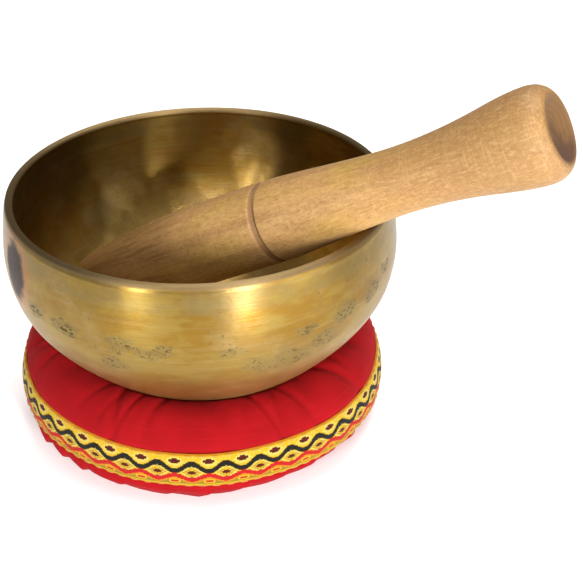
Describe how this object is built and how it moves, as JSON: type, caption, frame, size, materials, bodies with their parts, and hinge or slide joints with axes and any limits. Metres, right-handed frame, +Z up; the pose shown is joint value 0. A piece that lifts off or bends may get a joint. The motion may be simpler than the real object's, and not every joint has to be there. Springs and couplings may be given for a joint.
{
  "type": "singing bowl",
  "caption": "Bronze singing bowl on a round gathered cushion with a woven ribbon, and a turned wooden mallet leaning across its rim.",
  "frame": {"origin": "centre of the cushion's flat underside, on the table", "axes": "+Z up, along the bowl's axis; -Y is the front, and the mallet's handle points towards +X and a little to the front"},
  "size_m": [0.1712, 0.1353, 0.1386],
  "materials": {
    "bronze": "brushed, hammered and lightly tarnished",
    "turned_wood": "turned and sanded, unvarnished",
    "red_cotton": "plain cotton, gathered",
    "wadding": "loose fibre",
    "woven_ribbon": "woven in yellow, red and black",
    "yellow_thread": "sewing thread",
    "red_thread": "sewing thread"
  },
  "bodies": {
    "cushion": {"cushion_base_cloth": "red_cotton", "cushion_top_cloth": "red_cotton", "cushion_filling": "wadding", "woven_ribbon": "woven_ribbon", "ribbon_upper_stitches": "yellow_thread", "ribbon_lower_stitches": "yellow_thread", "ribbon_join_stitches": "yellow_thread", "gathering_thread": "red_thread"},
    "bowl": {"bowl": "bronze"},
    "mallet": {"mallet": "turned_wood"}
  },
  "joints": [
    {"name": "bowl_lift", "type": "slide", "parent": "cushion", "child": "bowl", "axis": [0, 0, 1], "range_m": [0, 0.1]},
    {"name": "mallet_lift", "type": "slide", "parent": "bowl", "child": "mallet", "axis": [0, 0, 1], "range_m": [0, 0.12]}
  ]
}
